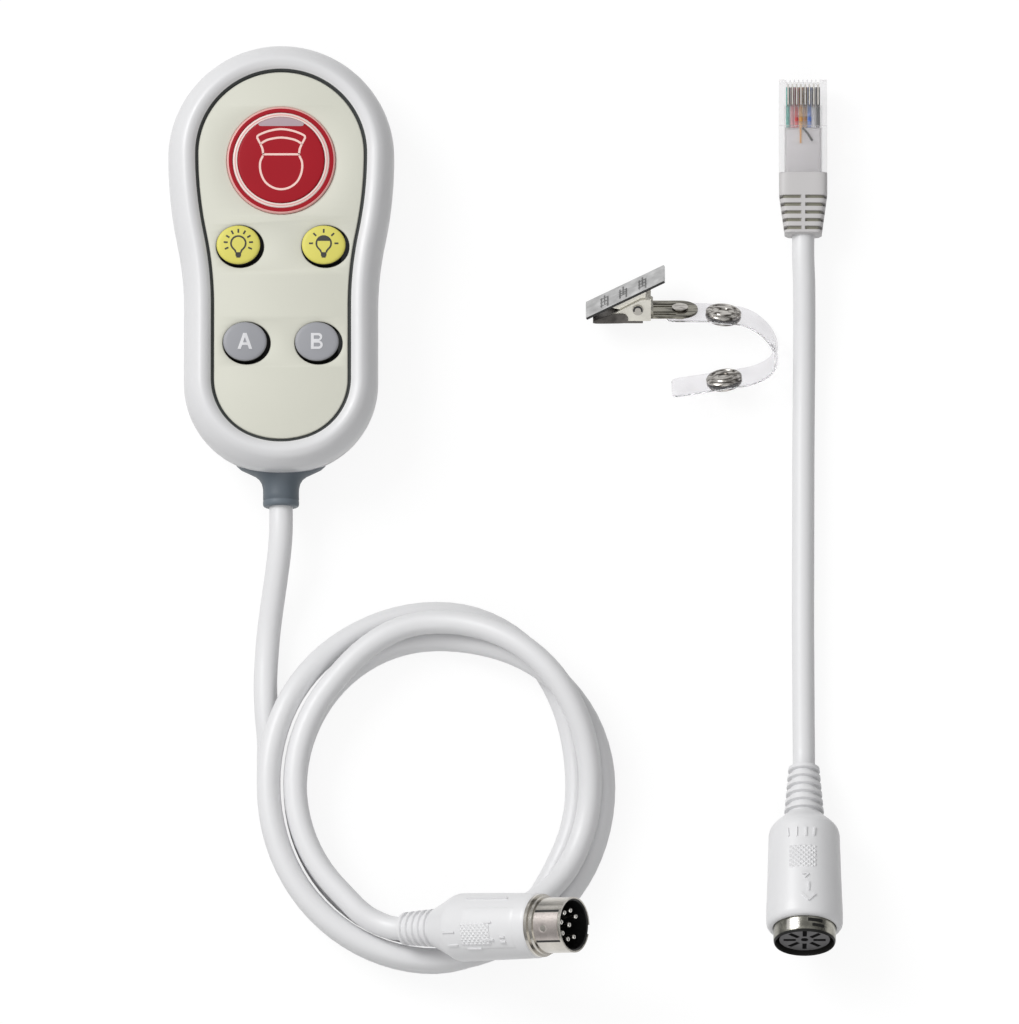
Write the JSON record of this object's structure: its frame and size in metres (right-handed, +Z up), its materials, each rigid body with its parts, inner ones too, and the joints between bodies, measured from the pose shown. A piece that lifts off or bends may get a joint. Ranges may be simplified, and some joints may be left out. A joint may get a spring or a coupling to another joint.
{
  "type": "nurse call button",
  "caption": "Hand-held nurse call unit with a red call button, light and service keys, coiled lead with round plug, adapter lead and garment clip.",
  "frame": {"origin": "centre of the handset's flat back face, where it rests on the table", "axes": "X across the handset to the right, Y along it towards the call button, Z up out of its front"},
  "size_m": [0.1603, 0.2232, 0.0461],
  "materials": {
    "shell_white": "satin gloss",
    "seal_dark": "matt",
    "keypad_grey": "fine matt",
    "call_red": "satin",
    "lens_pink": "translucent",
    "ring_pale": "satin",
    "key_yellow": "satin",
    "key_grey": "satin",
    "board_green": "solder mask",
    "steel": "plain",
    "switch_dark": "matt",
    "plunger_black": "matt",
    "lamp_white": "matt",
    "guide_clear": "clear",
    "header_ivory": "satin",
    "wire_mixed": "satin",
    "boot_grey": "satin",
    "cord_white": "satin",
    "grip_white": "satin",
    "nickel": "nickel plate",
    "insert_black": "matt",
    "insert_grey": "matt",
    "contact_gold": "gold flash",
    "clear_plastic": "clear",
    "wire_blue": "satin",
    "clip_steel": "stamped",
    "spring_steel": "dark",
    "strap_clear": "clear vinyl"
  },
  "bodies": {
    "housing": {"front_shell": "shell_white", "rear_shell": "shell_white", "shell_seal": "seal_dark", "keypad_panel": "keypad_grey", "case_screws": "steel", "call_ring": "ring_pale", "call_bezel": "call_red", "circuit_board": "board_green", "board_screws": "steel", "call_switch": "switch_dark", "key_switches": "switch_dark", "controller_chip": "switch_dark", "call_lamp": "lamp_white", "cable_header": "header_ivory", "inner_wires": "wire_mixed", "cable_boot": "boot_grey", "inner_cable": "cord_white", "cable_clamp": "steel", "clamp_screws": "steel", "cord_lead": "cord_white", "cord_coil": "cord_white", "cord_tail": "cord_white", "plug_grip": "grip_white", "plug_shell": "nickel", "plug_insert": "insert_black", "plug_pins": "nickel", "adapter_cord": "cord_white", "socket_grip": "grip_white", "socket_sleeve": "nickel", "socket_insert": "insert_grey", "socket_contacts": "contact_gold", "flat_plug_body": "clear_plastic", "flat_plug_contacts": "contact_gold", "flat_plug_wires": "wire_blue", "flat_plug_boot": "grip_white", "clip_jaw": "clip_steel", "clip_pivot": "steel", "clip_spring": "spring_steel", "strap_rivet": "steel", "strap": "strap_clear", "snap_socket": "nickel", "snap_stud": "nickel"},
    "call_button_body": {"call_button": "call_red", "call_lens": "lens_pink", "light_guide": "guide_clear", "call_plunger": "plunger_black"},
    "light_on_body": {"light_on_key": "key_yellow", "light_on_plunger": "plunger_black"},
    "light_dim_body": {"light_dim_key": "key_yellow", "light_dim_plunger": "plunger_black"},
    "service_a_body": {"service_a_key": "key_grey", "service_a_plunger": "plunger_black"},
    "service_b_body": {"service_b_key": "key_grey", "service_b_plunger": "plunger_black"},
    "latch_body": {"flat_plug_latch": "clear_plastic"},
    "clip_lever_body": {"clip_lever": "clip_steel"}
  },
  "joints": [
    {"name": "call_press", "type": "slide", "parent": "housing", "child": "call_button_body", "axis": [0, 0, -1], "range_m": [0, 0.001], "stiffness_N_per_m": 300, "springref_m": -0.0006},
    {"name": "light_on_press", "type": "slide", "parent": "housing", "child": "light_on_body", "axis": [0, 0, -1], "range_m": [0, 0.0008], "stiffness_N_per_m": 300, "springref_m": -0.0006},
    {"name": "light_dim_press", "type": "slide", "parent": "housing", "child": "light_dim_body", "axis": [0, 0, -1], "range_m": [0, 0.0008], "stiffness_N_per_m": 300, "springref_m": -0.0006},
    {"name": "service_a_press", "type": "slide", "parent": "housing", "child": "service_a_body", "axis": [0, 0, -1], "range_m": [0, 0.0008], "stiffness_N_per_m": 300, "springref_m": -0.0006},
    {"name": "service_b_press", "type": "slide", "parent": "housing", "child": "service_b_body", "axis": [0, 0, -1], "range_m": [0, 0.0008], "stiffness_N_per_m": 300, "springref_m": -0.0006},
    {"name": "latch_flex", "type": "hinge", "parent": "housing", "child": "latch_body", "pos_m": [0.1243, 0.0434, 0.00195], "axis": [-1, 0, 0], "range_deg": [0, 5.5], "stiffness_Nm_per_rad": 0.05, "springref_deg": -2.86},
    {"name": "clip_open", "type": "hinge", "parent": "housing", "child": "clip_lever_body", "pos_m": [0.0849, -0.00858, 0.00576], "axis": [0, 0.6018, -0.7986], "range_deg": [0, 25], "stiffness_Nm_per_rad": 0.05, "springref_deg": -22.92}
  ]
}
